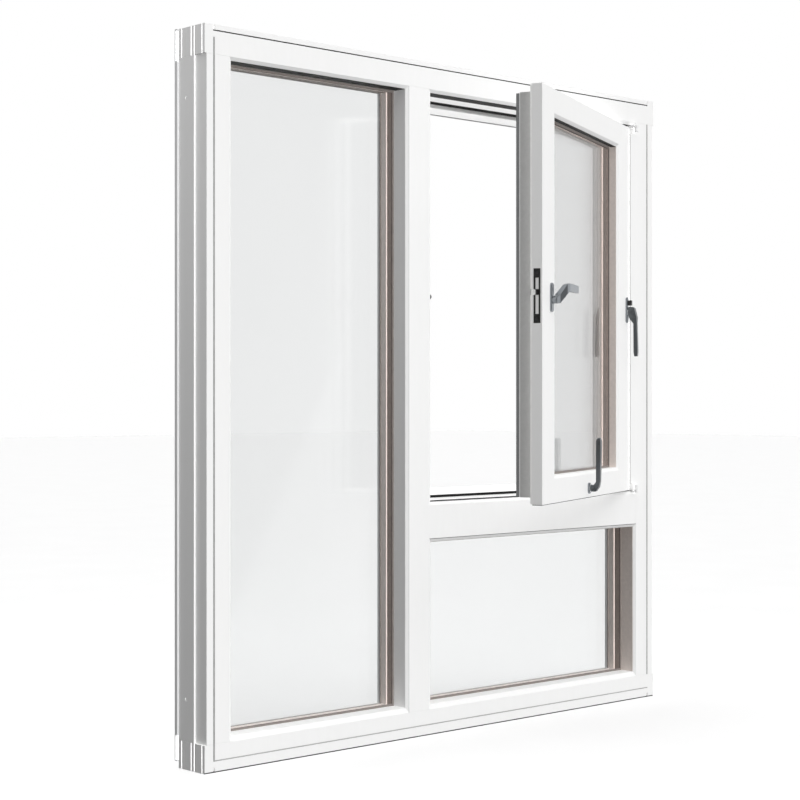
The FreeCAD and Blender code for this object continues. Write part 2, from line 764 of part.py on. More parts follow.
def upper_fixed_z():
    """Height span of the upper fixed arm, under the liner of the head."""
    return (BAY[3] - LINER - PIVOT_PLATE, BAY[3] - LINER)


def lower_fixed_pivot():
    """Lower fixed arm, the boss that carries the sash and the pin that stands in it."""
    z = lower_fixed_z()
    rest = SASH_BOTTOM - KNUCKLE_GAP
    boss = rod(KNUCKLE_RADIUS, (PIN_S, PIN_DEPTH, z[1]), (PIN_S, PIN_DEPTH, rest))
    pin = rod(PIN_RADIUS, (PIN_S, PIN_DEPTH, rest), (PIN_S, PIN_DEPTH, SASH_BOTTOM + KNUCKLE_HEIGHT))
    return pivot_arm(fixed_arm_span(), z).fuse([boss, pin]).removeSplitter()


def upper_fixed_pivot():
    """Upper fixed arm and the pin that hangs from it."""
    z = upper_fixed_z()
    foot = SASH_TOP + PIVOT_PLATE - KNUCKLE_HEIGHT
    pin = rod(PIN_RADIUS, (PIN_S, PIN_DEPTH, foot), (PIN_S, PIN_DEPTH, z[0]))
    return pivot_arm(fixed_arm_span(), z).fuse(pin).removeSplitter()


def moving_pivot(z, knuckle_z):
    """A moving arm with its knuckle, bored for the pin."""
    low = (PIN_S, PIN_DEPTH, knuckle_z[0])
    high = (PIN_S, PIN_DEPTH, knuckle_z[1])
    body = pivot_arm(moving_arm_span(), z).fuse(rod(KNUCKLE_RADIUS, low, high)).removeSplitter()
    return body.cut(rod(PIN_RADIUS + RUNNING_CLEARANCE, low, high))


def lower_moving_pivot():
    """Lower moving arm, its knuckle standing up in front of the sash."""
    return moving_pivot(lower_moving_z(), (SASH_BOTTOM, SASH_BOTTOM + KNUCKLE_HEIGHT))


def upper_moving_pivot():
    """Upper moving arm, its knuckle hanging in front of the sash."""
    top = SASH_TOP + PIVOT_PLATE
    return moving_pivot(upper_moving_z(), (top - KNUCKLE_HEIGHT, top))


def cover_bead():
    """The bead on the right jamb's mouth that covers the gap at the sash's hinge edge."""
    mouth = BAY[1] + BEVEL
    shoulder = mouth - BEVEL * COVER_BEAD / BEVEL_DEPTH
    low = SASH_BOTTOM + KNUCKLE_HEIGHT + COVER_BEAD_INSET
    high = SASH_TOP - KNUCKLE_HEIGHT - COVER_BEAD_INSET
    corners = ((COVER_BEAD_START, 0), (mouth, 0), (shoulder, COVER_BEAD), (COVER_BEAD_START, COVER_BEAD))
    outline = [point(s, d, low) for s, d in corners + corners[:1]]
    return Part.Face(Part.makePolygon(outline)).extrude(FreeCAD.Vector(0, 0, high - low))


# ---- all nodes ----
def frame_nodes():
    """Everything that stays with the wall."""
    nodes = frame_members()
    nodes.update(frame_cladding())
    cover_back = FRAME_DEPTH + GASKET_BACK
    nodes.update(glazing("side_light", SIDE_LIGHT, REVEAL_END, cover_back, FIXED_CAVITY))
    nodes.update(glazing("lower_light", LOWER_LIGHT, REVEAL_END, cover_back, FIXED_CAVITY))
    nodes["setting_blocks"] = setting_blocks()
    nodes["frame_seal"] = bay_seal()
    nodes["rebate_liner"] = rebate_liner()
    nodes.update(strike())
    nodes["lower_hinge_frame_leaf"] = lower_fixed_pivot()
    nodes["upper_hinge_frame_leaf"] = upper_fixed_pivot()
    nodes["right_jamb"] = nodes["right_jamb"].fuse(cover_bead()).removeSplitter()
    return nodes


def sash_nodes():
    """Everything that swings with the sash, still in the closed position."""
    nodes = sash_members()
    nodes.update(sash_cladding())
    nodes.update(glazing("sash", SASH_LIGHT, sash_front(SASH_REVEAL), sash_front(SASH_TIMBER), SASH_CAVITY))
    nodes["perimeter_seal"] = perimeter_seal()
    nodes["lock_faceplate"] = faceplate()
    for kind in LEVER_PLACES:
        nodes[kind + "_backplate"] = backplate(kind)
    nodes["lower_hinge_sash_leaf"] = lower_moving_pivot()
    nodes["upper_hinge_sash_leaf"] = upper_moving_pivot()
    nodes["latch_lever"] = latch_lever()
    nodes["side_lever"] = upright_lever("side", SIDE_SECTIONS)
    nodes["lower_lever"] = upright_lever("lower", LOWER_SECTIONS)
    nodes["lock_bar"] = lock_bar()
    return nodes


def whole(made):
    """One shape for a node: a single solid, or its separate solids held together."""
    solids = []
    for shape in made if isinstance(made, list) else [made]:
        solids += shape.Solids
    return solids[0] if len(solids) == 1 else Part.makeCompound(solids)


def main():
    os.makedirs("parts", exist_ok=True)
    nodes = {name: whole(made) for name, made in frame_nodes().items()}
    nodes.update({name: open_sash(whole(made)) for name, made in sash_nodes().items()})
    for name, shape in nodes.items():
        shape.exportStep(f"parts/{name}.step")
        size = shape.BoundBox
        print(f"{name:26s} solids {len(shape.Solids):2d} valid {shape.isValid()} volume {shape.Volume:12.0f}",
              f"{size.XLength:7.1f} x {size.YLength:6.1f} x {size.ZLength:7.1f}")
    print(len(nodes), "nodes")


main()
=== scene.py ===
import json
import math

import bmesh
import bpy
from mathutils import Matrix, Vector


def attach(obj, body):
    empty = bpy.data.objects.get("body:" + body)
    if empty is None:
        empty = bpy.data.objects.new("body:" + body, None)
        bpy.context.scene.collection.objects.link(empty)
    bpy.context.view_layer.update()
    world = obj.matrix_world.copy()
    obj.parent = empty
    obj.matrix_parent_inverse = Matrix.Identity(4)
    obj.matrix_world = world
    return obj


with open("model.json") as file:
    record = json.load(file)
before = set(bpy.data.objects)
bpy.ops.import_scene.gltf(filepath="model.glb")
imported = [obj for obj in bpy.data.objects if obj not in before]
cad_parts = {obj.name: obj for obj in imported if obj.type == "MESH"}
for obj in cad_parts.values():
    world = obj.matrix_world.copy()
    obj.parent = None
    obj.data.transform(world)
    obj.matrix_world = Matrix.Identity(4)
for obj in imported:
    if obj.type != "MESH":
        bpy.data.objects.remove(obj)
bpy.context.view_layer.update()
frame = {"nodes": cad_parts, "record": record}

# ---- where things stand, in metres ----
CAMERA = Vector((-3.016, -3.094, 0.787))
CAMERA_TURN = math.radians(-42.945)
LENS = 81.0
SENSOR = 36.0
FLOOR_SIZE = 60.0
MILLIMETRE = 0.001

# ---- the window's setting-out, in millimetres ----
# s runs from the left edge, d inwards from the face and z up. A bar is given as its (s, d, z) spans.
WIDTH = 1480.0
DEPTH = 92.0
PIN = (1401.0, -9.0)
SASH_TURN = math.radians(24.4)
SASH_FACE = 10.0
SASH_EDGES = (666.5, 1400.4, 549.9, 1503.0)
TONGUE_INSET = 16.5
TONGUE_DEPTHS = (41.0, 68.0)
# Thickness of the grey strip that paints shade on the sides of the tongue.
TONGUE_SHADE_THICKNESS = 0.9
LOCK_LEVEL = 1031.0
FACEPLATE_MIDDLE = 1022.5
FACEPLATE_DEPTH = 22.5
FACEPLATE_SCREW_REACH = (-52.0, 52.0)

# ---- bars added to the frame and the sash ----
SHADE_AND_JOINT_ROUNDING = 0.15
THIN_ROUNDING = 0.1
STRIP_ROUNDING = 0.2
BLOCK_ROUNDING = 1.8
# Strips in the lining grooves are painted shade: black in the head groove and pale in the sill groove.
HEAD_GROOVE_SHADE = ((22.5, 1457.5), (0.6, 6.0), (1566.5, 1569.0))
SILL_GROOVE_SHADE = ((22.5, 1457.5), (0.3, 0.8), (23.5, 26.0))
TRANSOM_JOINT = ((656.0, 1409.5), (-0.25, 1.0), (460.2, 461.4))
# A dark strip along the foot of the face: painted shadow where the window meets the floor.
FOOT_SHADOW = ((0.5, 1479.5), (0.4, 3.0), (0.2, 2.5))
# Grey strips in the upright lining grooves: painted shade.
LEFT_GROOVE_SHADE = ((22.5, 27.0), (0.8, 6.0), (23.5, 1553.5))
RIGHT_GROOVE_SHADE = ((1453.0, 1457.5), (0.8, 6.0), (60.0, 1517.3))
MULLION_JOINT = ((588.8, 589.4), (-0.25, 0.1), (60.5, 1516.8))
LOWER_LIGHT_LININGS = (
    ((1402.2, 1403.0), (5.5, 44.0), (72.5, 453.2)),
    ((662.5, 663.3), (5.5, 44.0), (72.5, 453.2)),
)
SASH_LININGS = (
    ((1291.3, 1292.1), (15.5, 33.0), (613.7, 1439.2)),
    ((763.8, 764.6), (15.5, 33.0), (613.7, 1439.2)),
)
# Black strips on the soffits of the side light and the sash: painted shade on faces turned down.
SIDE_LIGHT_SOFFIT_SHADE = ((73.5, 581.2), (7.0, 38.0), (1509.4, 1510.0))
SASH_SOFFIT_SHADE = ((764.4, 1291.5), (16.0, 30.0), (1439.1, 1439.7))
BEAD_LIP = ((1385.5, 1387.0), (0.1, 1.4), (567.4, 1485.5))
# A dark strip under the sash's bottom edge: painted shadow.
SASH_UNDER_SHADOW = ((668.0, 1388.0), (10.2, 34.0), (548.6, 549.9))
CUP_DEPTHS = (16.6, 27.8)
CUP_REACH = (0.6, 15.8)
CUP_BACK = (15.5, 16.1)
CUP_FLOOR = (-6.4, -5.9)
CUP_CEILING = (5.9, 6.4)
CUP_BACK_HEIGHT = (-6.3, 6.3)

# ---- turned pieces: (distance along the axis, radius) pairs ----
HOLE_CAP = ((0.0, 2.6), (0.3, 3.5), (0.8, 3.7), (3.0, 3.7))
HOLE_CAP_ENDS = ((0.2, 1), (1479.8, -1))
HOLE_CAP_DEPTH = 65.0
HOLE_CAP_LEVELS = (150.0, 1430.0)
PLATE_SCREW = ((-0.3, 1.2), (-0.3, 3.1), (0.5, 3.6), (1.2, 3.6))
LEVER_RING = ((0.0, 9.2), (0.3, 10.4), (1.6, 10.4), (2.2, 9.0))
LEVER_CAP = ((-1.5, 5.6), (0.4, 5.9), (1.6, 5.0), (2.2, 3.2))
TURNED_STEPS = 24
ROUND_STEPS = 32

# ---- levers: (s, z) of each spindle on the shut sash ----
SIDE_LEVER = (1371.4, 1016.0)
LOWER_LEVER = (1029.5, 572.0)
RING_DEPTH = SASH_FACE - 5.3
KEY_BLOCK_HALF_WIDTH = 5.5
KEY_BLOCK_DEPTHS = (-5.0, 5.0)
KEY_BLOCK_RISE = (18.0, 31.0)
CAP_DEPTH = SASH_FACE - 26.5
CAP_RISE = 121.0

# ---- colours, linear ----
WHITE = (1.0, 1.0, 1.0, 1.0)
PAINT = (0.888, 0.888, 0.885)
PAINT_LOW = (0.880, 0.880, 0.876)
GLASS_LOW = (0.990, 0.992, 0.992)
GLASS_HIGH = (0.996, 0.997, 0.997)
FACE_ON_SHEEN = 0.029

FLOOR_LOW = (0.90, 0.90, 0.90)
FLOOR_HIGH = (0.91, 0.91, 0.91)

# ---- surfaces ----
MOTTLE_SCALE = 3.0
RELIEF_SCALE = 11.0
RELIEF_STRENGTH = 0.25
ROUGHNESS_SPREAD = 0.06
ARRIS = 0.0012
ARRIS_SAMPLES = 4
GLASS_MOTTLE_SCALE = 0.8
SHEEN_POWER = 5.0
EVEN_GRAIN = (40, 40, 40)
WOOD_GRAIN = (30, 30, 6)
FINE_GRAIN = (300, 300, 300)
METAL_GRAIN = (200, 200, 200)
BRUSHED_GRAIN = (60, 400, 400)
SMOOTH = 0.00003
EASED_ANGLE = math.radians(25)
CORNER_STEPS = 4
CORNER_TURN = 30

# ---- studio ----
SKY_STRENGTH = 0.20
BELOW_STRENGTH = 0.015
SKYLINE = (-0.05, 0.08)
SUNS = {
    "front_sun": ((0.20, -0.97, 0.13), 2.49),
    "left_sun": ((-1.0, 0.05, 0.10), 0.14),
    "right_sun": ((0.90, 0.42, 0.12), 1.3),
    "back_sun": ((0.0, 0.95, 0.30), 2.3),
}
CEILING = Vector((0.0, -0.1, 1.0))
CEILING_POWER = 1.75
CEILING_SPREAD = math.radians(100)
LEFT_BOX = Vector((-2.3, 0.0, 2.5))
LEFT_BOX_TARGET = Vector((-0.74, 0.0, 1.2))
LEFT_BOX_POWER = 12.0
LEFT_BOX_SIZE = 1.0
WALL_AXIS = (0.705, 0.600, -0.379)
WALL_TONES = (
    (0.0, 0.12),
    (0.40, 0.18),
    (0.497, 0.34),
    (0.503, 0.62),
    (0.66, 0.92),
    (1.0, 1.0),
)
WALL_SPAN = (-0.25, 0.25)


# ---- material helpers ----
def new_material(name):
    """A material with its nodes cleared down to a Principled shader and an output."""
    material = bpy.data.materials.new(name)
    material.use_nodes = True
    tree = material.node_tree
    shader = next(n for n in tree.nodes if n.type == "BSDF_PRINCIPLED")
    return material, tree, shader


def position(tree, scale):
    """Object coordinates stretched by a scale for each axis."""
    coordinates = tree.nodes.new("ShaderNodeTexCoord")
    mapping = tree.nodes.new("ShaderNodeMapping")
    mapping.inputs["Scale"].default_value = scale
    tree.links.new(coordinates.outputs["Object"], mapping.inputs["Vector"])
    return mapping.outputs["Vector"]


def noise(tree, vector, scale, detail=2.0):
    """A noise value over a vector."""
    node = tree.nodes.new("ShaderNodeTexNoise")
    node.inputs["Scale"].default_value = scale
    node.inputs["Detail"].default_value = detail
    tree.links.new(vector, node.inputs["Vector"])
    return node.outputs["Fac"]


def ramp(tree, value, low, high, start=0.35, end=0.65):
    """Turns a value into a colour between low and high."""
    node = tree.nodes.new("ShaderNodeValToRGB")
    node.color_ramp.elements[0].position = start
    node.color_ramp.elements[1].position = end
    node.color_ramp.elements[0].color = (*low, 1)
    node.color_ramp.elements[1].color = (*high, 1)
    tree.links.new(value, node.inputs["Fac"])
    return node.outputs["Color"]


def remap(tree, value, low, high):
    """Turns a 0 to 1 value into one between low and high."""
    node = tree.nodes.new("ShaderNodeMapRange")
    node.inputs["To Min"].default_value = low
    node.inputs["To Max"].default_value = high
    tree.links.new(value, node.inputs["Value"])
    return node.outputs["Result"]


def bump(tree, shader, height, distance):
    """Adds a bump to a shader from a height value, over eased edges."""
    node = tree.nodes.new("ShaderNodeBump")
    eased = tree.nodes.new("ShaderNodeBevel")
    eased.samples = ARRIS_SAMPLES
    eased.inputs["Radius"].default_value = ARRIS
    tree.links.new(eased.outputs["Normal"], node.inputs["Normal"])
    node.inputs["Strength"].default_value = RELIEF_STRENGTH
    node.inputs["Distance"].default_value = distance
    tree.links.new(height, node.inputs["Height"])
    tree.links.new(node.outputs["Normal"], shader.inputs["Normal"])


def surface(name, low, high, roughness, metallic=0.0, grain=EVEN_GRAIN, depth=0.0002, sheen=0.5):
    """A finished surface: mottled colour, varied roughness and a fine relief, all from noise."""
    material, tree, shader = new_material(name)
    where = position(tree, grain)
    value = noise(tree, where, MOTTLE_SCALE)
    tree.links.new(ramp(tree, value, low, high), shader.inputs["Base Color"])
    worn = remap(tree, value, roughness - ROUGHNESS_SPREAD, roughness + ROUGHNESS_SPREAD)
    tree.links.new(worn, shader.inputs["Roughness"])
    shader.inputs["Metallic"].default_value = metallic
    shader.inputs["Specular IOR Level"].default_value = sheen
    bump(tree, shader, noise(tree, where, RELIEF_SCALE), depth)
    return material


def glass():
    """Clear float glass: a faint grey tint, and a mirror-like sheen that grows at low angles."""
    material, tree, shader = new_material("float_glass")
    tree.nodes.remove(shader)
    output = next(n for n in tree.nodes if n.type == "OUTPUT_MATERIAL")
    clear = tree.nodes.new("ShaderNodeBsdfTransparent")
    sheen = tree.nodes.new("ShaderNodeBsdfGlossy")
    sheen.inputs["Roughness"].default_value = 0.0
    mix = tree.nodes.new("ShaderNodeMixShader")
    facing = tree.nodes.new("ShaderNodeLayerWeight")
    facing.inputs["Blend"].default_value = 0.5
    steep = tree.nodes.new("ShaderNodeMath")
    steep.operation = "POWER"
    steep.inputs[1].default_value = SHEEN_POWER
    tree.links.new(facing.outputs["Facing"], steep.inputs[0])
    mottle = noise(tree, position(tree, (1, 1, 1)), GLASS_MOTTLE_SCALE)
    tint = ramp(tree, mottle, GLASS_LOW, GLASS_HIGH)
    tree.links.new(tint, clear.inputs["Color"])
    tree.links.new(remap(tree, steep.outputs["Value"], FACE_ON_SHEEN, 1.0), mix.inputs["Fac"])
    tree.links.new(clear.outputs["BSDF"], mix.inputs[1])
    tree.links.new(sheen.outputs["BSDF"], mix.inputs[2])
    tree.links.new(mix.outputs["Shader"], output.inputs["Surface"])
    return material


MATERIALS = {
    "painted_timber": surface(
        "paint", PAINT_LOW, PAINT, 0.5, grain=WOOD_GRAIN, depth=0.00006, sheen=0.16),
    "cladding": surface(
        "clad_metal", (0.74, 0.745, 0.75), (0.78, 0.785, 0.79), 0.4, grain=FINE_GRAIN, depth=SMOOTH),
    "glass": glass(),
    "spacer_dark": surface("spacer_brown", (0.34, 0.28, 0.255), (0.38, 0.315, 0.285), 0.6),
    "spacer_light": surface("spacer_beige", (0.80, 0.735, 0.70), (0.86, 0.79, 0.75), 0.55),
    "glazing_gasket": surface("gasket", (0.185, 0.165, 0.155), (0.22, 0.195, 0.18), 0.7),
    # Black rubber for the seals, also used for the strips of painted shade in the head groove and on the
    # soffits, and of painted shadow under the sash and at the foot.
    "dark_seal": surface("black_rubber_and_painted_shade", (0.008, 0.008, 0.008), (0.016, 0.016, 0.016), 0.7),
    "pale_seal": surface("pale_rubber", (0.84, 0.84, 0.83), (0.89, 0.89, 0.88), 0.6),
    "block_plastic": surface("block_plastic", (0.03, 0.03, 0.033), (0.05, 0.05, 0.055), 0.5),
    "lever_grey": surface(
        "satin_metal", (0.27, 0.29, 0.31), (0.34, 0.36, 0.385), 0.3,
        metallic=0.85, grain=BRUSHED_GRAIN, depth=SMOOTH),
    "lever_dark": surface(
        "dark_metal", (0.10, 0.11, 0.118), (0.135, 0.145, 0.155), 0.32,
        metallic=0.6, grain=METAL_GRAIN, depth=SMOOTH),
    "lock_plate": surface("lock_plate", (0.035, 0.035, 0.035), (0.055, 0.055, 0.055), 0.45, metallic=0.4),
    "lock_steel": surface("lock_steel", (0.07, 0.07, 0.075), (0.11, 0.11, 0.115), 0.35, metallic=0.8),
    "hinge_paint": surface("hinge_paint", (0.86, 0.86, 0.86), (0.90, 0.90, 0.90), 0.35),
}
EXTRA_LOOKS = {
    # The sash's cladding, the same metal as the frame's, in a dark grey that is painted shade on the sash's
    # deep edges.
    "sash_cover_painted_shade": surface(
        "sash_cover_painted_shade", (0.20, 0.205, 0.21), (0.24, 0.245, 0.25), 0.45, grain=FINE_GRAIN, depth=SMOOTH),
    # A grey for painted shade in the upright grooves, also used for the mullion line and the bead lip.
    "groove_shade_and_trim_grey": surface("groove_shade_and_trim_grey", (0.30, 0.30, 0.30), (0.36, 0.36, 0.36), 0.7),
    # A mid grey used only for painted shade: the strip round the tongue and the strip in the sill groove.
    "pale_painted_shade": surface("pale_painted_shade", (0.43, 0.43, 0.425), (0.455, 0.455, 0.45), 0.8),
    "bead_lining": surface("bead_lining", (0.78, 0.70, 0.655), (0.83, 0.745, 0.695), 0.55),
    "bright_cap": surface("bright_cap", (0.62, 0.64, 0.66), (0.72, 0.74, 0.76), 0.22, metallic=0.9),
    "black_insert": surface("black_insert", (0.012, 0.012, 0.013), (0.02, 0.02, 0.021), 0.4),
}
NODE_LOOKS = {
    # The sash's cladding takes the dark grey of painted shade.
    "lock_stile_cladding": EXTRA_LOOKS["sash_cover_painted_shade"],
    "hinge_stile_cladding": EXTRA_LOOKS["sash_cover_painted_shade"],
    "top_rail_cladding": EXTRA_LOOKS["sash_cover_painted_shade"],
    "bottom_rail_cladding": EXTRA_LOOKS["sash_cover_painted_shade"],
    "side_backplate": MATERIALS["lever_grey"],
    "lower_backplate": MATERIALS["lever_grey"],
}
EASED_SLOTS = ("lever_grey", "lever_dark")
EASED_WIDTH = 0.0016
WELD_DISTANCE = 0.00002


def dress_nodes():
    """Gives every CAD node its material, and rounded edges to the handled ones."""
    slots = {part["node"]: part["material_slot"] for part in frame["record"]["subparts"]}
    for name, node in frame["nodes"].items():
        node.data.materials.clear()
        node.data.materials.append(NODE_LOOKS.get(name, MATERIALS[slots[name]]))
        if slots[name] in EASED_SLOTS:
            ease(node)


def ease(node):
    """Rounds the edges of a handled part."""
    weld = node.modifiers.new("weld", "WELD")
    weld.merge_threshold = WELD_DISTANCE
    bevel = node.modifiers.new("ease", "BEVEL")
    bevel.width = EASED_WIDTH
    bevel.segments = 3
    bevel.limit_method = "ANGLE"
    bevel.angle_limit = EASED_ANGLE
    bevel.harden_normals = False


# ---- shaping added pieces ----
def place(s, d, z):
    """A setting-out point in the shared frame."""
    return Vector((s - WIDTH / 2, d - DEPTH / 2, z)) * MILLIMETRE


def swing():
    """The turn that takes the closed sash to where it stands at rest."""
    pin = place(*PIN, 0)
    return Matrix.Translation(pin) @ Matrix.Rotation(SASH_TURN, 4, "Z") @ Matrix.Translation(-pin)


def finish_piece(name, mesh, look, body, on_sash):
    """Puts a built mesh in the scene, dressed in a material and riding a body."""
    data = bpy.data.meshes.new(name)
    bmesh.ops.recalc_face_normals(mesh, faces=mesh.faces)
    if on_sash:
        mesh.transform(swing())
    mesh.to_mesh(data)
    mesh.free()
    data.materials.append(look)
    piece = bpy.data.objects.new(name, data)
    bpy.context.scene.collection.objects.link(piece)
    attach(piece, body)
    return piece


def lofted(mesh, loops):
    """Skins a row of point loops and closes both ends."""
    rings = [[mesh.verts.new(point) for point in loop] for loop in loops]
    for near, far in zip(rings, rings[1:]):
        for i, vertex in enumerate(near):
            follower = (i + 1) % len(near)
            mesh.faces.new((vertex, near[follower], far[follower], far[i]))
    mesh.faces.new(rings[0])
    mesh.faces.new(rings[-1])


def bar_profile(first, second, rounding):
    """A rectangle between two pairs of values with its corners rounded, as a list of pairs."""
    low = (min(first[0], second[0]) + rounding, min(first[1], second[1]) + rounding)
    high = (max(first[0], second[0]) - rounding, max(first[1], second[1]) - rounding)
    centres = ((high[0], high[1], 0), (low[0], high[1], 90), (low[0], low[1], 180), (high[0], low[1], 270))
    points = []
    for a, b, start in centres:
        for step in range(CORNER_STEPS):
            angle = math.radians(start + step * CORNER_TURN)
            points.append((a + rounding * math.cos(angle), b + rounding * math.sin(angle)))
    return points


def bar_along_s(mesh, s, d, z, rounding):
    """A bar with rounded arrises that runs across the width."""
    profile = bar_profile((d[0], z[0]), (d[1], z[1]), rounding)
    lofted(mesh, [[place(end, a, b) for a, b in profile] for end in s])


def bar_along_z(mesh, s, d, z, rounding):
    """A bar with rounded arrises that runs upright."""
    profile = bar_profile((s[0], d[0]), (s[1], d[1]), rounding)
    lofted(mesh, [[place(a, b, end) for a, b in profile] for end in z])


def turned_head(mesh, centre, axis, profile, steps=TURNED_STEPS):
    """A turned shape: (distance along the axis, radius) pairs swept round an axis from a centre."""
    along = Vector(axis).normalized()
    side = along.orthogonal().normalized()
    other = along.cross(side)
    loops = []
    for distance, radius in profile:
        middle = centre + along * distance * MILLIMETRE
        loop = []
        for step in range(steps):
            angle = math.tau * step / steps
            spoke = side * math.cos(angle) + other * math.sin(angle)
            loop.append(middle + spoke * radius * MILLIMETRE)
        loops.append(loop)
    lofted(mesh, loops)


# ---- added pieces ----
def add_bar(name, build, spans, rounding, look, body="frame"):
    """A piece made of one bar, on the sash if it rides the sash."""
    mesh = bmesh.new()
    build(mesh, *spans, rounding)
    finish_piece(name, mesh, look, body, body != "frame")


def add_groove_shades_and_joints():
    """Strips of painted shade in the lining grooves, a strip of painted shadow under the front of the sill,
    and lines on the joints of the face.
    """
    dark = MATERIALS["dark_seal"]
    pale_shade = EXTRA_LOOKS["pale_painted_shade"]
    grey = EXTRA_LOOKS["groove_shade_and_trim_grey"]
    # The groove strips are painted shade and the foot strip is painted shadow; the transom and mullion
    # lines mark joints.
    seals = (
        ("head_groove_shade", bar_along_s, HEAD_GROOVE_SHADE, dark),
        ("sill_groove_shade", bar_along_s, SILL_GROOVE_SHADE, pale_shade),
        ("transom_joint", bar_along_s, TRANSOM_JOINT, dark),
        ("foot_shadow", bar_along_s, FOOT_SHADOW, dark),
        ("left_groove_shade", bar_along_z, LEFT_GROOVE_SHADE, grey),
        ("right_groove_shade", bar_along_z, RIGHT_GROOVE_SHADE, grey),
        ("mullion_joint", bar_along_z, MULLION_JOINT, grey),
    )
    for name, build, spans, look in seals:
        add_bar(name, build, spans, SHADE_AND_JOINT_ROUNDING, look)


def add_hole_caps():
    """Shallow domed caps in the outer ends of the frame-screw holes."""
    mesh = bmesh.new()
    for s, side in HOLE_CAP_ENDS:
        for z in HOLE_CAP_LEVELS:
            turned_head(mesh, place(s, HOLE_CAP_DEPTH, z), (side, 0, 0), HOLE_CAP)
    finish_piece("hole_caps", mesh, MATERIALS["painted_timber"], "frame", False)


def add_tongue_shade():
    """A grey strip round the sides of the sash's tongue: painted shade where the tongue sits back behind
    the flange.
    """
    left, right, low, high = SASH_EDGES
    left += TONGUE_INSET
    right -= TONGUE_INSET
    low += TONGUE_INSET
    high -= TONGUE_INSET
    upright = (low - TONGUE_SHADE_THICKNESS, high + TONGUE_SHADE_THICKNESS)
    mesh = bmesh.new()
    bar_along_z(mesh, (left - TONGUE_SHADE_THICKNESS, left), TONGUE_DEPTHS, upright, STRIP_ROUNDING)
    bar_along_z(mesh, (right, right + TONGUE_SHADE_THICKNESS), TONGUE_DEPTHS, upright, STRIP_ROUNDING)
    bar_along_s(mesh, (left, right), TONGUE_DEPTHS, (high, high + TONGUE_SHADE_THICKNESS), STRIP_ROUNDING)
    bar_along_s(mesh, (left, right), TONGUE_DEPTHS, (low - TONGUE_SHADE_THICKNESS, low), STRIP_ROUNDING)
    finish_piece("tongue_shade_strip", mesh, EXTRA_LOOKS["pale_painted_shade"], "sash", True)


def shifted(span, offset):
    """A span moved along by an offset."""
    return span[0] + offset, span[1] + offset


def add_stud_cup():
    """The dark cup inside the notch that lets the stud in."""
    left = SASH_EDGES[0]
    reach = shifted(CUP_REACH, left)
    mesh = bmesh.new()
    bar_along_s(mesh, reach, CUP_DEPTHS, shifted(CUP_FLOOR, LOCK_LEVEL), THIN_ROUNDING)
    bar_along_s(mesh, reach, CUP_DEPTHS, shifted(CUP_CEILING, LOCK_LEVEL), THIN_ROUNDING)
    bar_along_z(
        mesh, shifted(CUP_BACK, left), CUP_DEPTHS, shifted(CUP_BACK_HEIGHT, LOCK_LEVEL), THIN_ROUNDING)
    finish_piece("stud_cup", mesh, EXTRA_LOOKS["black_insert"], "sash", True)


def add_faceplate_screws():
    """The two screws of the faceplate."""
    mesh = bmesh.new()
    for offset in FACEPLATE_SCREW_REACH:
        centre = place(SASH_EDGES[0], FACEPLATE_DEPTH, FACEPLATE_MIDDLE + offset)
        turned_head(mesh, centre, (1, 0, 0), PLATE_SCREW)
    finish_piece("faceplate_screws", mesh, MATERIALS["lock_steel"], "sash", True)


def add_linings(name, linings, body):
    """Beige bead linings on both upright reveals of a light."""
    mesh = bmesh.new()
    for spans in linings:
        bar_along_z(mesh, *spans, THIN_ROUNDING)
    finish_piece(name, mesh, EXTRA_LOOKS["bead_lining"], body, body != "frame")


def add_reveal_details():
    """Linings on upright reveals, and black strips of painted shade on the soffits."""
    add_linings("lower_light_linings", LOWER_LIGHT_LININGS, "frame")
    add_linings("sash_linings", SASH_LININGS, "sash")
    dark = MATERIALS["dark_seal"]
    add_bar("side_light_soffit_shade", bar_along_s, SIDE_LIGHT_SOFFIT_SHADE, THIN_ROUNDING, dark)
    add_bar("sash_soffit_shade", bar_along_s, SASH_SOFFIT_SHADE, THIN_ROUNDING, dark, "sash")


def add_bead_lip_and_sash_shadow():
    """The lip on the cover bead, and a dark strip of painted shadow under the sash."""
    grey = EXTRA_LOOKS["groove_shade_and_trim_grey"]
    dark = MATERIALS["dark_seal"]
    add_bar("bead_lip", bar_along_z, BEAD_LIP, THIN_ROUNDING, grey)
    add_bar("sash_under_shadow", bar_along_s, SASH_UNDER_SHADOW, SHADE_AND_JOINT_ROUNDING, dark, "sash")


def add_lever_details():
    """The key block above the side lever, rings round the hubs and the cap of the lower lever."""
    across = shifted((-KEY_BLOCK_HALF_WIDTH, KEY_BLOCK_HALF_WIDTH), SIDE_LEVER[0])
    block = (across, KEY_BLOCK_DEPTHS, shifted(KEY_BLOCK_RISE, SIDE_LEVER[1]))
    black = EXTRA_LOOKS["black_insert"]
    bright = EXTRA_LOOKS["bright_cap"]
    add_bar("side_key_block", bar_along_z, block, BLOCK_ROUNDING, black, "sash")
    for name, (s, z) in (("side_lever", SIDE_LEVER), ("lower_lever", LOWER_LEVER)):
        mesh = bmesh.new()
        turned_head(mesh, place(s, RING_DEPTH, z), (0, -1, 0), LEVER_RING, ROUND_STEPS)
        finish_piece(name + "_ring", mesh, bright, name, True)
    mesh = bmesh.new()
    foot = place(LOWER_LEVER[0], CAP_DEPTH, LOWER_LEVER[1] + CAP_RISE)
    turned_head(mesh, foot, (0, 0, 1), LEVER_CAP, ROUND_STEPS)
    finish_piece("lower_lever_cap", mesh, bright, "lower_lever", True)


# ---- stage ----
def build_floor():
    """A plain pale floor."""
    bpy.ops.mesh.primitive_plane_add(size=FLOOR_SIZE, location=(0, 0, 0))
    floor = bpy.context.object
    floor.name = "floor"
    material = surface("floor_paper", FLOOR_LOW, FLOOR_HIGH, 0.9, grain=(1, 1, 1), depth=0.0)
    floor.data.materials.append(material)
    floor.visible_diffuse = False
    floor.visible_glossy = False


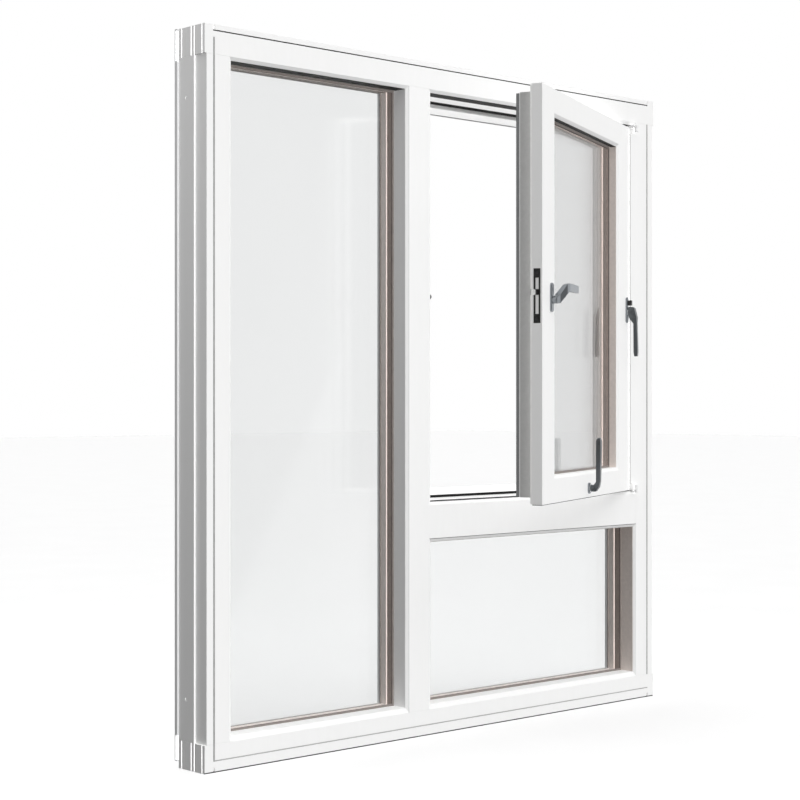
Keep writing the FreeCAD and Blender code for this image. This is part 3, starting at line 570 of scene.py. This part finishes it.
def build_world():
    """White surroundings for the camera, a soft sky for diffuse light and a studio wall for reflections."""
    world = bpy.data.worlds.new("studio")
    bpy.context.scene.world = world
    world.use_nodes = True
    tree = world.node_tree
    output = tree.nodes["World Output"]
    coordinates = tree.nodes.new("ShaderNodeTexCoord")
    split = tree.nodes.new("ShaderNodeSeparateXYZ")
    tree.links.new(coordinates.outputs["Generated"], split.inputs["Vector"])
    sky = tree.nodes["Background"]
    sky.inputs["Color"].default_value = WHITE
    strength = slope(tree, split.outputs["Z"], (*SKYLINE, BELOW_STRENGTH, SKY_STRENGTH))
    tree.links.new(strength, sky.inputs["Strength"])
    wall = studio_wall(tree, coordinates.outputs["Generated"])
    plain = tree.nodes.new("ShaderNodeBackground")
    plain.inputs["Color"].default_value = WHITE
    rays = tree.nodes.new("ShaderNodeLightPath")
    lit = blend(tree, rays.outputs["Is Glossy Ray"], sky, wall)
    seen = blend(tree, rays.outputs["Is Camera Ray"], lit, plain)
    tree.links.new(seen.outputs[0], output.inputs["Surface"])


def blend(tree, factor, first, second):
    """A mix of two background shaders."""
    mix = tree.nodes.new("ShaderNodeMixShader")
    tree.links.new(factor, mix.inputs["Fac"])
    tree.links.new(first.outputs[0], mix.inputs[1])
    tree.links.new(second.outputs[0], mix.inputs[2])
    return mix


def studio_wall(tree, direction):
    """What shines back from glass and metal: a dark side and a bright side with a soft step between."""
    along = tree.nodes.new("ShaderNodeVectorMath")
    along.operation = "DOT_PRODUCT"
    along.inputs[1].default_value = WALL_AXIS
    tree.links.new(direction, along.inputs[0])
    height = slope(tree, along.outputs["Value"], (*WALL_SPAN, 0.0, 1.0))
    tones = tree.nodes.new("ShaderNodeValToRGB")
    stops = tones.color_ramp.elements
    for spare in range(len(WALL_TONES) - 2):
        stops.new((spare + 1) / len(WALL_TONES))
    for stop, (where, tone) in zip(stops, WALL_TONES):
        stop.position = where
        stop.color = (tone, tone, tone, 1)
    tree.links.new(height, tones.inputs["Fac"])
    wall = tree.nodes.new("ShaderNodeBackground")
    tree.links.new(tones.outputs["Color"], wall.inputs["Color"])
    return wall


def slope(tree, value, ends):
    """A straight ramp of a value: (from, to, strength at from, strength at to), held level outside."""
    node = tree.nodes.new("ShaderNodeMapRange")
    for name, number in zip(("From Min", "From Max", "To Min", "To Max"), ends):
        node.inputs[name].default_value = number
    tree.links.new(value, node.inputs["Value"])
    return node.outputs["Result"]


def lamp(name, kind, source, towards, power):
    """A lamp that casts no shadow and does not show in reflections."""
    data = bpy.data.lights.new(name, kind)
    data.energy = power
    data.use_shadow = False
    made = bpy.data.objects.new(name, data)
    made.location = source
    made.rotation_euler = Vector(towards).to_track_quat("-Z", "Y").to_euler()
    made.visible_glossy = False
    bpy.context.scene.collection.objects.link(made)
    return made


def build_lights():
    """Even light on every upright side, a soft ceiling that casts the floor shadow, and a box high on
    the left whose light fades downwards."""
    for name, (source, power) in SUNS.items():
        lamp(name, "SUN", source, -Vector(source), power)
    above = lamp("soft_ceiling", "SUN", CEILING, -CEILING, CEILING_POWER)
    above.data.use_shadow = True
    above.data.angle = CEILING_SPREAD
    box = lamp("left_box", "AREA", LEFT_BOX, LEFT_BOX_TARGET - LEFT_BOX, LEFT_BOX_POWER)
    box.data.size = LEFT_BOX_SIZE


def build_camera():
    """A level camera at half the window's height, to its left on the room side."""
    data = bpy.data.cameras.new("camera")
    data.lens = LENS
    data.sensor_width = SENSOR
    camera = bpy.data.objects.new("camera", data)
    camera.location = CAMERA
    camera.rotation_euler = (math.radians(90), 0, CAMERA_TURN)
    bpy.context.scene.collection.objects.link(camera)
    bpy.context.scene.camera = camera


bpy.context.scene.view_settings.view_transform = "Standard"
build_camera()
dress_nodes()
add_groove_shades_and_joints()
add_hole_caps()
add_tongue_shade()
add_stud_cup()
add_faceplate_screws()
add_reveal_details()
add_bead_lip_and_sash_shadow()
add_lever_details()
build_floor()
build_world()
build_lights()
